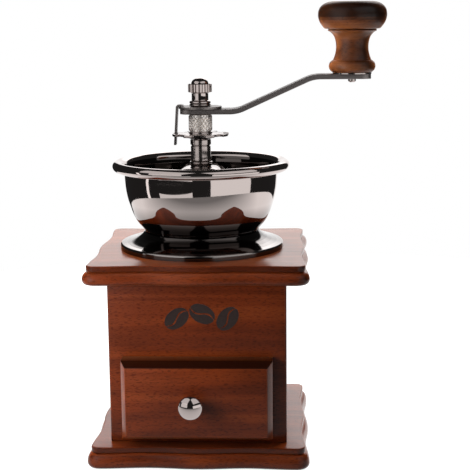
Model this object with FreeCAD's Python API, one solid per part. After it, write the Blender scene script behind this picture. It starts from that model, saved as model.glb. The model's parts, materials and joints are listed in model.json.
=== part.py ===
import FreeCAD, Part
import math
import os

# Hand-cranked box coffee grinder, millimetres.
# Origin: centre of the underside of the base board, on the shaft axis. +Z is up, -Y is the drawer side.

# Fits
fit = 0.06
clearance = 0.05
screw_clearance = 0.1
play = 0.15
edge_break = 0.4

# Boards
board_half = 51.2
board_corner = 6.0
base_thick = 10.1
top_thick = 8.9
wave_depth = 1.4
nose_round = 2.4
groove_inset = 2.7
lip_inset = 2.0
lip_round = 0.5
lip_height = 3.1

# Box
box_width = 81.6
box_height = 75.8
box_edge = 1.0
panel = 6.0
opening_half = 31.0
opening_floor = 17.0
opening_height = 31.0
runner_width = 5.0
base_screw_y = 25.0
base_screw_radius = 1.5
base_screw_length = 24.0
base_screw_head = 3.3
base_screw_head_height = 2.0
base_screw_sink = 0.3

# Drawer
front_half = 34.4
front_floor = 14.2
front_height = 37.0
front_thick = 11.5
front_chamfer = 2.0
front_gap = 0.3
drawer_side_gap = 0.5
drawer_lift = 0.2
drawer_wall = 4.0
drawer_floor_thick = 3.0
drawer_depth = 64.0
drawer_knob_place = (-2.0, 33.2)
drawer_knob_reach = 11.5
drawer_knob_dome = (2.6, 11.02)
drawer_knob_brow = (5.0, 9.52)
drawer_knob_rim = (5.54, 8.28)
drawer_knob_under = (4.69, 6.81)
drawer_knob_stem = (2.7, 5.6)
drawer_knob_bore = 7.0
drawer_knob_bore_room = 0.5
knob_screw_radius = 1.9
knob_screw_head = 3.2
knob_screw_head_height = 1.8

# Hopper; a pair is a radius and a height above the bowl's floor
sheet = 1.2
flange_radius = 39.2
flange_edge = 2.8
flange_round = 1.0
flange_sweep = 31.6
flange_sweep_rise = 1.5
flange_neck_run = 0.8
neck_radius = 27.6
neck_height = 8.2
bowl_floor_round = 1.0
bowl_turn = (31.1, 4.3)
bowl_waist = (33.4, 8.0)
bowl_belly = (35.4, 15.0)
bowl_mouth = (36.6, 25.0)
bowl_turn_inner = (30.2, 5.2)
bowl_height = 33.8
rim_radius = 42.3
rim_roll = 2.45
rim_tuck = 1.9
throat_radius = 14.0

# Bearing bridge in the bowl
bridge_width = 23.4
bridge_depth = 22.0
bridge_strip = 2.5
bridge_bend = 4.75
bridge_rise = 30.7
bridge_foot = 24.0
rivet_inset = 3.0
rivet_radius = 1.8
rivet_head = 3.3
rivet_head_rise = 1.8
rivet_tail = 2.9
rivet_tail_height = 1.0
sleeve_radius = 4.95
sleeve_above = 13.0
sleeve_below = 15.7
sleeve_groove = 0.35
sleeve_groove_drop = 4.3
sleeve_groove_height = 1.8
ring_radius = 5.45
ring_gap = 1.3
ring_height = 1.0

# Spindle and burrs
shaft_radius = 3.0
shaft_flat = 2.3
shaft_flat_drop = 0.75
shaft_tail = 7.0
shaft_end_break = 0.5
shaft_in_cap = 8.3
burr_height = 18.0
burr_above_box = 6.1
burr_tip_low = 13.0
burr_tip_high = 7.0
burr_tooth = 1.2
burr_teeth = 12
burr_twist = 36.0
burr_land = 4.0
outer_teeth = 24
outer_tip = 13.8
outer_root = 14.8
outer_twist = -12.0
tooth_lean = 0.35
casting_drop = 13.9
casting_neck = 17.0
casting_neck_gap = 0.5
casting_skirt = 18.5
casting_flange = 25.0
casting_flange_thick = 3.0
clamp_circle = 21.0
clamp_turns = (90, 240, 300)
clamp_screw_radius = 1.5
clamp_screw_head = 2.8
clamp_screw_head_rise = 1.7
burr_nut_radius = 5.8
burr_nut_height = 4.5
seat_radius = 5.6
seat_thick = 1.5
spring_radius = 4.6
spring_wire = 0.45
spring_turns = 6
spring_end_gap = 0.02

# Adjuster on top of the sleeve
disc_gap = 0.3
disc_hub_radius = 5.7
disc_hub_height = 3.2
disc_plate_rise = 1.2
disc_plate_thick = 1.2
disc_radius = 13.6
disc_notches = 8
disc_notch_width = 5.6
disc_notch_floor = 10.8
nut_radius = 5.6
nut_height = 8.2
clip_sheet = 1.0
clip_radius = 10.2
clip_bore = 3.3
clip_width = 5.0
clip_bend = 0.8
clip_root = 5.5
clip_step = 7.4
clip_shelf = 8.8
clip_shoulder = 1.85
clip_leg_top = 10.9
clip_leg_foot = 12.1
clip_leg_length = 19.0

# Crank
arm_thick = 2.4
arm_width = 12.0
arm_rise = 16.0
arm_slope = 24.1
arm_bend_start = 17.6
arm_tail = 9.5
arm_end = 80.4
arm_bend = 16.0
arm_corner = 4.5
crank_reach = 71.6
washer_radius = 5.1
washer_bore = 3.2
washer_thick = 1.1
cap_height = 12.2
cap_flare = 5.1
cap_flare_height = 1.6
cap_neck = 4.0
cap_knurl = 5.65
cap_knurl_low = 5.2
cap_knurl_high = 9.4
cap_dome = 4.1
cap_bore_room = 0.9

# Handle; a pair is a radius and a height above the handle's underside
knob_washer_radius = 9.2
knob_washer_thick = 0.5
handle_gap = 0.1
handle_height = 32.7
handle_heel = 9.3
handle_foot = (10.9, 2.9)
handle_foot_top = (9.3, 5.7)
handle_waist = (7.55, 11.5)
handle_neck = (10.2, 18.7)
handle_brow = (13.1, 20.3)
handle_crown = (16.0, 26.7)
handle_shoulder = (13.4, 31.5)
handle_cap_round = (11.6, 32.3)
handle_cap = 9.4
handle_cove_step = 0.4
pin_radius = 2.5
pin_tail = 1.85
pin_tail_break = 0.5
pin_tail_reach = 1.6
pin_head = 4.0
pin_head_height = 1.4
pin_head_rise = 1.1
recess_depth = 4.5
recess_gap = 0.6
recess_play = 0.2

# Heights worked out from the driving dimensions
base_top = base_thick
box_top = base_top + box_height
board_top = box_top + top_thick
bowl_floor = board_top + neck_height
bridge_top = bowl_floor + bridge_rise
sleeve_low = bridge_top - sleeve_below
sleeve_high = bridge_top + sleeve_above
burr_high = box_top + burr_above_box
burr_low = burr_high - burr_height
casting_low = box_top - casting_drop
disc_low = sleeve_high + disc_gap
disc_plate_low = disc_low + disc_plate_rise
nut_low = disc_low + disc_hub_height + clearance
nut_high = nut_low + nut_height
arm_low = nut_high + play
clip_low = arm_low + arm_thick + play
washer_low = clip_low + clip_sheet + play
cap_seat = washer_low + washer_thick + clearance
shaft_high = cap_seat + shaft_in_cap
arm_seat = arm_low + arm_rise
handle_low = arm_seat + arm_thick + knob_washer_thick + handle_gap

half_box = box_width / 2
inside = half_box - panel
past = 1.0
vertical = FreeCAD.Vector(0, 0, 1)


def point(x, y, z):
    return FreeCAD.Vector(x, y, z)


def polar(radius, degrees, z):
    turn = math.radians(degrees)
    return point(radius * math.cos(turn), radius * math.sin(turn), z)


def lifted(place, low):
    """A (radius, height) pair measured up from a level."""
    return (place[0], low + place[1])


def block(x, y, z):
    """Box between the low and high limits of each axis."""
    return Part.makeBox(x[1] - x[0], y[1] - y[0], z[1] - z[0], point(x[0], y[0], z[0]))


def rod(radius, low, high, x=0.0, y=0.0):
    return Part.makeCylinder(radius, high - low, point(x, y, low))


def dome(radius, low, rise):
    """Arc of a round cap that ends on the axis."""
    ball = (radius ** 2 + rise ** 2) / (2 * rise)
    turn = math.asin(radius / ball) / 2
    return ((ball * math.sin(turn), low + rise - ball + ball * math.cos(turn)), (0, low + rise))


def save(name, shape):
    shape.exportStep("parts/" + name + ".step")


def turned(start, steps):
    """Solid turned about Z from an outline of (r, z) runs; a pair of points is an arc through the first."""
    place = point(start[0], 0, start[1])
    first = place
    edges = []
    for step in steps:
        if isinstance(step[0], tuple):
            through = point(step[0][0], 0, step[0][1])
            end = point(step[1][0], 0, step[1][1])
            edges.append(Part.Arc(place, through, end).toShape())
        else:
            end = point(step[0], 0, step[1])
            edges.append(Part.makeLine(place, end))
        place = end
    if place.distanceToPoint(first) > 1e-6:
        edges.append(Part.makeLine(place, first))
    face = Part.Face(Part.Wire(edges))
    return face.revolve(point(0, 0, 0), vertical, 360)


def broken_ring(bore, radius, low, high):
    """Ring with broken outer edges."""
    return turned((bore, low), [
        (radius - edge_break, low),
        (radius, low + edge_break),
        (radius, high - edge_break),
        (radius - edge_break, high),
        (bore, high),
    ])


def washer(bore, radius, low, high):
    return rod(radius, low, high).cut(rod(bore, low, high))


def bent_strip(corners, bend, width, thick):
    """Flat strip of sheet across Y that follows (x, z) corners with round bends."""
    places = [point(x, 0, z) for x, z in corners]
    edges = []
    last = places[0]
    for before, corner, after in zip(places, places[1:], places[2:]):
        inward = (before - corner).normalize()
        onward = (after - corner).normalize()
        half_turn = (math.pi - inward.getAngle(onward)) / 2
        run = bend * math.tan(half_turn)
        to_centre = (inward + onward).normalize()
        centre = corner + to_centre * (bend / math.cos(half_turn))
        bend_start = corner + inward * run
        bend_end = corner + onward * run
        edges.append(Part.makeLine(last, bend_start))
        edges.append(Part.Arc(bend_start, centre - to_centre * bend, bend_end).toShape())
        last = bend_end
    edges.append(Part.makeLine(last, places[-1]))
    along = (places[1] - places[0]).normalize()
    across = point(0, width / 2, 0)
    normal = along.cross(point(0, 1, 0)) * (thick / 2)
    start = places[0]
    ring = [start + across + normal, start - across + normal]
    ring += [start - across - normal, start + across - normal]
    section = Part.makePolygon(ring + ring[:1])
    return Part.Wire(edges).makePipeShell([section], True, False)


def arc_about(x, y, radius, start, end, z):
    """Arc in a level plane between two directions in degrees."""
    places = [point(x, y, 0) + polar(radius, angle, z) for angle in (start, (start + end) / 2, end)]
    return Part.Arc(*places).toShape()


def board_level(inset, z):
    """Wavy square outline of a board, drawn in from its nose."""
    straight = board_half - board_corner
    quarter = straight / 4
    swell = wave_depth / 2
    radius = (quarter ** 2 + swell ** 2) / (2 * swell)
    swing = math.degrees(math.asin(quarter / radius))
    crest_centre = radius - board_half
    dip_centre = wave_depth - board_half - radius
    crest = radius - inset
    dip = radius + inset
    side = [
        arc_about(-straight, crest_centre, crest, -90, swing - 90, z),
        arc_about(-straight / 2, dip_centre, dip, 90 + swing, 90 - swing, z),
        arc_about(0, crest_centre, crest, -90 - swing, swing - 90, z),
        arc_about(straight / 2, dip_centre, dip, 90 + swing, 90 - swing, z),
        arc_about(straight, crest_centre, crest, -90 - swing, -90, z),
        arc_about(straight, -straight, board_corner - inset, -90, 0, z),
    ]
    edges = []
    for quarter_turn in range(4):
        for edge in side:
            edges.append(edge.rotated(point(0, 0, 0), vertical, 90 * quarter_turn))
    return Part.Wire(edges)


def board(low, thick):
    """Moulded board: round nose below, a groove, and an undercut lip above."""
    nose = thick - lip_height
    levels = []
    for degrees in (0, 30, 60, 90):
        turn = math.radians(degrees)
        levels.append((nose_round * (1 - math.sin(turn)), nose_round * (1 - math.cos(turn))))
    for degrees in (30, 60, 90):
        turn = math.radians(degrees)
        rise = nose_round + (nose - nose_round) * math.sin(turn)
        levels.append((groove_inset * (1 - math.cos(turn)), rise))
    levels.append((lip_inset, thick - lip_round))
    levels.append((lip_inset + lip_round, thick))
    wires = [board_level(inset, low + rise) for inset, rise in levels]
    return Part.makeLoft(wires, True, True)


def sunk_screw(radius, head, head_height, length):
    """Screw standing head down at the origin, shank up, with a sunk conical head."""
    return turned((0, 0), [(head, 0), (radius, head_height), (radius, length), (0, length)])


def clamp_places():
    return [polar(clamp_circle, degrees, 0) for degrees in clamp_turns]


def upright_edges(shape, places):
    """Vertical edges that stand at the given (x, y) corners."""
    found = []
    for edge in shape.Edges:
        middle = edge.CenterOfMass
        for x, y in places:
            if abs(middle.x - x) < 1e-6 and abs(middle.y - y) < 1e-6:
                found.append(edge)
    return found


def make_base():
    side_middle = half_box - panel / 2
    base = board(0, base_thick)
    sides = {}
    screws = []
    for name, sign in (("left_side_panel", -1), ("right_side_panel", 1)):
        edges = sorted((sign * inside, sign * half_box))
        sides[name] = block(edges, (-inside, inside), (base_top, box_top))
        for y in (-base_screw_y, base_screw_y):
            place = point(sign * side_middle, y, base_screw_sink)
            one = sunk_screw(base_screw_radius, base_screw_head, base_screw_head_height, base_screw_length)
            one.translate(place)
            screws.append(one)
            hole_radius = base_screw_radius + clearance
            hole_head = base_screw_head + clearance
            hole_length = base_screw_length + base_screw_sink
            hole = sunk_screw(hole_radius, hole_head, base_screw_head_height, hole_length)
            hole.translate(place)
            hole = hole.fuse(rod(hole_head, 0, base_screw_sink, place.x, place.y))
            base = base.cut(hole)
            sides[name] = sides[name].cut(hole)
    save("base_board", base)
    save("base_screws", Part.makeCompound(screws))
    for name, shape in sides.items():
        save(name, shape)


def make_box():
    height = (base_top, box_top)
    front = block((-half_box, half_box), (-half_box, -inside), height)
    front = front.makeFillet(box_edge, upright_edges(front, [(-half_box, -half_box), (half_box, -half_box)]))
    opening = (opening_floor, opening_floor + opening_height)
    mouth = block((-opening_half, opening_half), (-half_box, -inside), opening)
    save("front_panel", front.cut(mouth))
    back = block((-half_box, half_box), (inside, half_box), height)
    back = back.makeFillet(box_edge, upright_edges(back, [(-half_box, half_box), (half_box, half_box)]))
    save("back_panel", back)
    for name, sign in (("left_runner", -1), ("right_runner", 1)):
        edges = sorted((sign * (inside - runner_width), sign * inside))
        save(name, block(edges, (-inside, inside), (base_top, opening_floor)))

    top = board(box_top, top_thick)
    top = top.cut(rod(casting_neck + casting_neck_gap, box_top, board_top))
    for place in clamp_places():
        top = top.cut(rod(clamp_screw_radius + screw_clearance, box_top, board_top, place.x, place.y))
    save("top_board", top)


def make_drawer():
    back = -half_box - front_gap
    face = back - front_thick
    front = block((-front_half, front_half), (face, back), (front_floor, front_floor + front_height))
    face_edges = [edge for edge in front.Edges if abs(edge.CenterOfMass.y - face) < 1e-6]
    front = front.makeChamfer(front_chamfer, face_edges)
    knob_x, knob_z = drawer_knob_place
    hole_start = point(knob_x, face, knob_z)
    hole = Part.makeCylinder(knob_screw_radius + screw_clearance, front_thick, hole_start, point(0, 1, 0))
    save("drawer_front", front.cut(hole))

    half = opening_half - drawer_side_gap
    within = half - drawer_wall
    low = opening_floor + drawer_lift
    high = opening_floor + opening_height - drawer_side_gap
    rear = back + drawer_depth
    rear_inside = rear - drawer_wall
    for name, sign in (("drawer_left_side", -1), ("drawer_right_side", 1)):
        edges = sorted((sign * within, sign * half))
        save(name, block(edges, (back, rear), (low, high)))
    save("drawer_back", block((-within, within), (rear_inside, rear), (low, high)))
    save("drawer_bottom", block((-within, within), (back, rear_inside), (low, low + drawer_floor_thick)))

    bore = knob_screw_radius + clearance
    knob = turned((0, drawer_knob_reach), [
        (drawer_knob_dome, drawer_knob_brow),
        (drawer_knob_rim, drawer_knob_under),
        drawer_knob_stem,
        (drawer_knob_stem[0], 0),
        (bore, 0),
        (bore, drawer_knob_bore),
        (0, drawer_knob_bore),
    ])
    shank = drawer_knob_bore + front_thick - drawer_knob_bore_room
    screw = turned((0, -knob_screw_head_height), [
        (knob_screw_head, -knob_screw_head_height),
        (knob_screw_head, 0),
        (knob_screw_radius, 0),
        (knob_screw_radius, shank),
        (0, shank),
    ])
    for name, shape, y in (("drawer_knob", knob, face), ("drawer_knob_screw", screw, back)):
        shape.rotate(point(0, 0, 0), point(1, 0, 0), 90)
        shape.translate(point(knob_x, y, knob_z))
        save(name, shape)


def make_hopper():
    edge_top = board_top + flange_edge
    sweep_top = edge_top + flange_sweep_rise
    edge_ease = flange_round * (1 - math.sqrt(0.5))
    flange = turned((flange_radius, board_top), [
        (flange_radius, edge_top - flange_round),
        ((flange_radius - edge_ease, edge_top - edge_ease), (flange_radius - flange_round, edge_top)),
        ((flange_sweep, sweep_top), (neck_radius, bowl_floor - flange_neck_run)),
        (neck_radius, bowl_floor),
        (neck_radius - sheet, bowl_floor),
        (neck_radius - sheet, bowl_floor - flange_neck_run - edge_break),
        ((flange_sweep - sheet / 2, sweep_top - sheet), (flange_radius - sheet, edge_top - sheet)),
        (flange_radius - sheet, board_top),
    ])
    save("flange_ring", flange)

    roll_z = bowl_floor + bowl_height - rim_roll
    roll_r = rim_radius - rim_roll
    roll_slant = rim_roll * math.sqrt(0.5)
    under = (roll_r - rim_tuck, roll_z - math.sqrt(rim_roll ** 2 - rim_tuck ** 2))
    waist = lifted(bowl_waist, bowl_floor)
    belly = lifted(bowl_belly, bowl_floor)
    mouth = lifted(bowl_mouth, bowl_floor)
    floor_round = bowl_floor_round * (1 - math.sqrt(0.5))
    inner_floor = bowl_floor + sheet
    bowl = turned((throat_radius, bowl_floor), [
        (neck_radius - bowl_floor_round, bowl_floor),
        ((neck_radius - floor_round, bowl_floor + floor_round), (neck_radius, bowl_floor + bowl_floor_round)),
        (lifted(bowl_turn, bowl_floor), waist),
        (belly, mouth),
        under,
        ((rim_radius, roll_z), (roll_r, roll_z + rim_roll)),
        ((roll_r - roll_slant, roll_z + roll_slant), (roll_r - rim_roll, roll_z)),
        (mouth[0] - sheet, mouth[1]),
        ((belly[0] - sheet, belly[1]), (waist[0] - sheet, waist[1] + edge_break)),
        (lifted(bowl_turn_inner, bowl_floor), (neck_radius - sheet, inner_floor)),
        (throat_radius, inner_floor),
    ])
    rivet_x = bridge_foot - rivet_inset
    for place in clamp_places():
        bowl = bowl.cut(rod(clamp_screw_radius + screw_clearance, bowl_floor, inner_floor, place.x, place.y))
    for x in (-rivet_x, rivet_x):
        bowl = bowl.cut(rod(rivet_radius + clearance, bowl_floor, inner_floor, x))
    save("hopper_bowl", bowl)

    foot_z = inner_floor + bridge_strip / 2
    foot_top = inner_floor + bridge_strip
    leg = (bridge_width - bridge_strip) / 2
    beam = bridge_top - bridge_strip / 2
    left = [(-bridge_foot, foot_z), (-leg, foot_z), (-leg, beam)]
    route = left + [(-x, z) for x, z in reversed(left)]
    bridge = bent_strip(route, bridge_bend, bridge_depth, bridge_strip)
    bridge = bridge.cut(rod(sleeve_radius + clearance, bridge_top - bridge_strip - past, bridge_top + past))
    rivets = []
    for x in (-rivet_x, rivet_x):
        bridge = bridge.cut(rod(rivet_radius + clearance, bowl_floor, foot_top + past, x))
        rivet = turned((0, bowl_floor - rivet_tail_height), [
            (rivet_tail, bowl_floor - rivet_tail_height),
            (rivet_tail, bowl_floor),
            (rivet_radius, bowl_floor),
            (rivet_radius, foot_top),
            (rivet_head, foot_top),
            dome(rivet_head, foot_top, rivet_head_rise),
        ])
        rivet.translate(point(x, 0, 0))
        rivets.append(rivet)
    save("bearing_bridge", bridge)
    save("bridge_rivets", Part.makeCompound(rivets))

    bore = shaft_radius + fit
    groove_radius = sleeve_radius - sleeve_groove
    groove_high = sleeve_high - sleeve_groove_drop
    groove_low = groove_high - sleeve_groove_height
    sleeve = turned((bore, sleeve_low), [
        (sleeve_radius, sleeve_low),
        (sleeve_radius, groove_low - edge_break),
        (groove_radius, groove_low),
        (groove_radius, groove_high),
        (sleeve_radius, groove_high + edge_break),
        (sleeve_radius, sleeve_high - edge_break),
        (sleeve_radius - edge_break, sleeve_high),
        (bore, sleeve_high),
    ])
    save("bearing_sleeve", sleeve)
    ring_low = bridge_top + ring_gap
    save("sleeve_ring", washer(sleeve_radius + clearance, ring_radius, ring_low, ring_low + ring_height))


def star(tip, root, teeth, z, twist):
    """Toothed closed outline."""
    places = []
    for index in range(teeth):
        places.append(polar(tip, 360 * index / teeth + twist, z))
        places.append(polar(root, 360 * (index + tooth_lean) / teeth + twist, z))
    return Part.makePolygon(places + places[:1])


def make_burrs():
    flange_low = box_top - casting_flange_thick
    grind_top = burr_high - burr_land
    casting = turned((0, casting_low), [
        (casting_skirt, casting_low),
        (casting_skirt, flange_low),
        (casting_flange, flange_low),
        (casting_flange, box_top),
        (casting_neck, box_top),
        (casting_neck, bowl_floor),
        (0, bowl_floor),
    ])
    bore = []
    cone = []
    for part in (0.0, 0.5, 1.0):
        bore_z = casting_low + (grind_top - casting_low) * part
        bore.append(star(outer_tip, outer_root, outer_teeth, bore_z, outer_twist * part))
        tip = burr_tip_low + (burr_tip_high - burr_tip_low) * part
        cone_z = burr_low + burr_height * part
        cone.append(star(tip, tip - burr_tooth, burr_teeth, cone_z, burr_twist * part))
    casting = casting.cut(Part.makeLoft(bore, True, True))
    casting = casting.cut(rod(throat_radius, grind_top, bowl_floor))
    screws = []
    head_low = bowl_floor + sheet
    for place in clamp_places():
        casting = casting.cut(rod(clamp_screw_radius + clearance, flange_low, box_top, place.x, place.y))
        one = turned((0, flange_low), [
            (clamp_screw_radius, flange_low),
            (clamp_screw_radius, head_low),
            (clamp_screw_head, head_low),
            dome(clamp_screw_head, head_low, clamp_screw_head_rise),
        ])
        one.translate(place)
        screws.append(one)
    save("outer_burr", casting)
    save("clamp_screws", Part.makeCompound(screws))

    shaft_hole = shaft_radius + clearance
    inner = Part.makeLoft(cone, True, True)
    save("inner_burr", inner.cut(rod(shaft_hole, burr_low - past, burr_high + past)))
    save("spring_seat", washer(shaft_hole, seat_radius, burr_high, burr_high + seat_thick))
    nut_under = burr_low - burr_nut_height
    hexagon = Part.makePolygon([polar(burr_nut_radius, 60 * corner, nut_under) for corner in range(7)])
    nut = Part.Face(hexagon).extrude(point(0, 0, burr_nut_height))
    save("burr_nut", nut.cut(rod(shaft_hole, nut_under - past, burr_low)))


def make_shaft():
    shaft_low = burr_low - shaft_tail
    thin = shaft_radius - shaft_end_break
    shaft = turned((0, shaft_low), [
        (thin, shaft_low),
        (shaft_radius, shaft_low + shaft_end_break),
        (shaft_radius, shaft_high - shaft_end_break),
        (thin, shaft_high),
        (0, shaft_high),
    ])
    flat_low = arm_low - shaft_flat_drop
    for sign in (-1, 1):
        edges = sorted((sign * shaft_flat, sign * (shaft_radius + past)))
        shaft = shaft.cut(block((-shaft_radius, shaft_radius), edges, (flat_low, shaft_high)))
    save("drive_shaft", shaft)


def arc_middle(start, way, end):
    """Middle of the arc that leaves start in a given direction and reaches end."""
    chord = end - start
    lean = way.getAngle(chord)
    side = way - chord * (way.dot(chord) / chord.dot(chord))
    return (start + end) / 2 + side.normalize() * (chord.Length / 2 * math.tan(lean / 2))


def half_turn_arcs(start, end, start_way, end_way):
    """Two arcs that join two points and keep both directions."""
    gap = end - start
    ways = start_way + end_way
    spread = 2 * (1 - start_way.dot(end_way))
    reach = (math.sqrt(gap.dot(ways) ** 2 + spread * gap.dot(gap)) - gap.dot(ways)) / spread
    joint = (start + end + (start_way - end_way) * reach) / 2
    first = Part.Arc(start, arc_middle(start, start_way, joint), joint)
    second = Part.Arc(joint, arc_middle(end, end_way * -1, joint), end)
    return [first.toShape(), second.toShape()]


def helix_way(pitch, turns):
    """Direction of the spring's wire after some turns."""
    turn = 2 * math.pi * turns
    slope = pitch / (2 * math.pi)
    return point(-spring_radius * math.sin(turn), spring_radius * math.cos(turn), slope).normalize()


def make_spring():
    low = burr_high + seat_thick + spring_wire + spring_end_gap
    high = sleeve_low - spring_wire - spring_end_gap
    pitch = (high - low) / spring_turns
    edges = []
    for half in range(2 * spring_turns):
        turns = half / 2
        start = polar(spring_radius, 360 * turns, low + pitch * turns)
        end = polar(spring_radius, 360 * turns + 180, low + pitch * (turns + 0.5))
        edges += half_turn_arcs(start, end, helix_way(pitch, turns), helix_way(pitch, turns + 0.5))
    path = Part.Wire(edges)
    circle = Part.makeCircle(spring_wire, polar(spring_radius, 0, low), helix_way(pitch, 0))
    save("burr_spring", path.makePipeShell([Part.Wire(circle)], True, False))

    places = path.discretize(Distance=spring_wire)
    half_turn = int(math.pi * spring_radius / spring_wire)
    nearest = pitch
    for index, place in enumerate(places):
        for other in places[index + half_turn:]:
            nearest = min(nearest, place.distanceToPoint(other))
    print("burr_spring least gap to itself", round(nearest - 2 * spring_wire, 2), "mm")


def make_adjuster():
    bore = shaft_radius + fit
    hub_high = disc_low + disc_hub_height
    plate_high = disc_plate_low + disc_plate_thick
    disc = rod(disc_radius, disc_plate_low, plate_high).fuse(rod(disc_hub_radius, disc_low, hub_high))
    across = (-disc_notch_width / 2, disc_notch_width / 2)
    through = (disc_plate_low - past, plate_high + past)
    for notch in range(disc_notches):
        cut = block((disc_notch_floor, disc_radius + past), across, through)
        cut.rotate(point(0, 0, 0), vertical, 360 * notch / disc_notches)
        disc = disc.cut(cut)
    save("adjusting_disc", disc.cut(rod(bore, disc_low, hub_high)))
    save("adjusting_nut", broken_ring(bore, nut_radius, nut_low, nut_high))

    plate_mid = clip_low + clip_sheet / 2
    shoulder = clip_low + clip_shoulder - clip_sheet / 2
    leg_low = clip_low + clip_shoulder - clip_leg_length
    route = [(-clip_root, plate_mid), (-clip_step, plate_mid), (-clip_shelf, shoulder),
             (-clip_leg_top, shoulder), (-clip_leg_foot, leg_low)]
    leg = bent_strip(route, clip_bend, clip_width, clip_sheet)
    clip = rod(clip_radius, clip_low, clip_low + clip_sheet).fuse(leg).removeSplitter()
    save("lock_clip", clip.cut(rod(clip_bore, clip_low - past, clip_low + clip_shoulder + past)))


def make_crank():
    mid = arm_low + arm_thick / 2
    far = mid + arm_rise
    arm_top = arm_seat + arm_thick
    run = arm_rise / math.tan(math.radians(arm_slope))
    route = [(-arm_tail, mid), (arm_bend_start, mid), (arm_bend_start + run, far), (arm_end, far)]
    strip = bent_strip(route, arm_bend, arm_width, arm_thick)
    half = arm_width / 2
    plan = block((-arm_tail, arm_end), (-half, half), (arm_low - past, arm_top + past))
    corners = upright_edges(plan, [(x, y) for x in (-arm_tail, arm_end) for y in (-half, half)])
    arm = strip.common(plan.makeFillet(arm_corner, corners))
    hole = (arm_low - past, arm_low + arm_thick + past)
    flats = block((-half, half), (-shaft_flat - fit, shaft_flat + fit), hole)
    arm = arm.cut(rod(shaft_radius + fit, *hole).common(flats))
    arm = arm.cut(rod(pin_tail + clearance, arm_seat - past, arm_top + past, crank_reach))
    save("crank_arm", arm)
    save("spring_washer", washer(washer_bore, washer_radius, washer_low, washer_low + washer_thick))

    bore = shaft_radius + fit
    knurl_low = cap_seat + cap_knurl_low
    knurl_high = cap_seat + cap_knurl_high
    flare_mid = (cap_flare - (cap_flare - cap_neck) / 4, cap_seat + cap_flare_height / 2)
    bore_top = shaft_high + cap_bore_room
    cap = turned((bore, cap_seat), [
        (cap_flare, cap_seat),
        (flare_mid, (cap_neck, cap_seat + cap_flare_height)),
        (cap_neck, knurl_low),
        (cap_knurl - edge_break, knurl_low),
        (cap_knurl, knurl_low + edge_break),
        (cap_knurl, knurl_high - edge_break),
        (cap_knurl - edge_break, knurl_high),
        (cap_dome, knurl_high),
        dome(cap_dome, knurl_high, cap_height - cap_knurl_high),
        (0, bore_top),
        (bore, bore_top),
    ])
    save("cap_nut", cap)


def make_handle():
    arm_top = arm_seat + arm_thick
    pad = washer(pin_tail + clearance, knob_washer_radius, arm_top, arm_top + knob_washer_thick)
    bore = pin_radius + clearance
    top = handle_low + handle_height
    recess = top - recess_depth
    recess_radius = pin_head + recess_gap
    foot_top = lifted(handle_foot_top, handle_low)
    handle = turned((bore, handle_low), [
        (handle_heel, handle_low),
        (lifted(handle_foot, handle_low), foot_top),
        (foot_top[0] - handle_cove_step, foot_top[1]),
        (lifted(handle_waist, handle_low), lifted(handle_neck, handle_low)),
        lifted(handle_brow, handle_low),
        (lifted(handle_crown, handle_low), lifted(handle_shoulder, handle_low)),
        (lifted(handle_cap_round, handle_low), (handle_cap, top)),
        (recess_radius, top),
        (recess_radius, recess),
        (bore, recess),
    ])
    shoulder = handle_low - clearance
    tail_low = arm_seat - pin_tail_reach
    head_low = recess + recess_play
    pin = turned((0, tail_low), [
        (pin_tail - pin_tail_break, tail_low),
        (pin_tail, tail_low + pin_tail_break),
        (pin_tail, shoulder),
        (pin_radius, shoulder),
        (pin_radius, head_low),
        (pin_head, head_low),
        (pin_head, head_low + pin_head_height),
        dome(pin_head, head_low + pin_head_height, pin_head_rise),
    ])
    for name, shape in (("knob_washer", pad), ("handle_knob", handle), ("knob_pin", pin)):
        shape.translate(point(crank_reach, 0, 0))
        save(name, shape)


os.makedirs("parts", exist_ok=True)
make_base()
make_box()
make_drawer()
make_hopper()
make_burrs()
make_shaft()
make_spring()
make_adjuster()
make_crank()
make_handle()
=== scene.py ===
import json
import math

import bmesh
import bpy
from mathutils import Matrix, Vector


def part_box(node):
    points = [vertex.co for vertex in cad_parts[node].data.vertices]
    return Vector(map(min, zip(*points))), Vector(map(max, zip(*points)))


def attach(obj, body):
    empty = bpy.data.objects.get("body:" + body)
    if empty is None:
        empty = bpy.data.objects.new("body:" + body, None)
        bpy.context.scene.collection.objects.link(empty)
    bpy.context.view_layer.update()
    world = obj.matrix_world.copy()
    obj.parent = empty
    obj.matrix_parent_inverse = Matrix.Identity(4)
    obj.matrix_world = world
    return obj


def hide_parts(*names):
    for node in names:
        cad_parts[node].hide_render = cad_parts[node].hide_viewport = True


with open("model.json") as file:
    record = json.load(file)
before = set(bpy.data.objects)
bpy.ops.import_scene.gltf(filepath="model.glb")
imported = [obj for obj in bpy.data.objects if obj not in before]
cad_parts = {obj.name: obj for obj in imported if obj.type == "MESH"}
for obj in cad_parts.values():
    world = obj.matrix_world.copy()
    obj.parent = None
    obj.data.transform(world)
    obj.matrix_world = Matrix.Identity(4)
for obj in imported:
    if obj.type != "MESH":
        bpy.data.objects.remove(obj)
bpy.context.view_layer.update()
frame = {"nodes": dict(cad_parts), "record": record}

# Sizes are in millimetres until a mesh or a lamp is made. Points closer than MERGE are one point.
MM = 0.001
MERGE = 0.001

# Edges bent by more than this, in degrees, stay sharp.
SHARP = 32.0
BOARD_SHARP = 24.0
COPY_SHARP = 28.0

# Camera, fitted to the photograph
CAMERA_PLACE = (40.85, -558.88, 201.94)
CAMERA_AIM = (15.89, 0.71, 99.92)
CAMERA_ROLL = math.radians(-0.552)
CAMERA_LENS = 90.19
CAMERA_SENSOR = 36.0
CAMERA_CLIP = 10.0

# Moulded boards
BOARD_CORNER = 6.0
WAVE_DEPTH = 1.4
NOSE_ROUND = 2.4
GROOVE_INSET = 2.7
LIP_INSET = 2.0
LIP_ROUND = 0.6
LIP_HEIGHT = 3.1
THROAT_HOLE = 17.5

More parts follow.
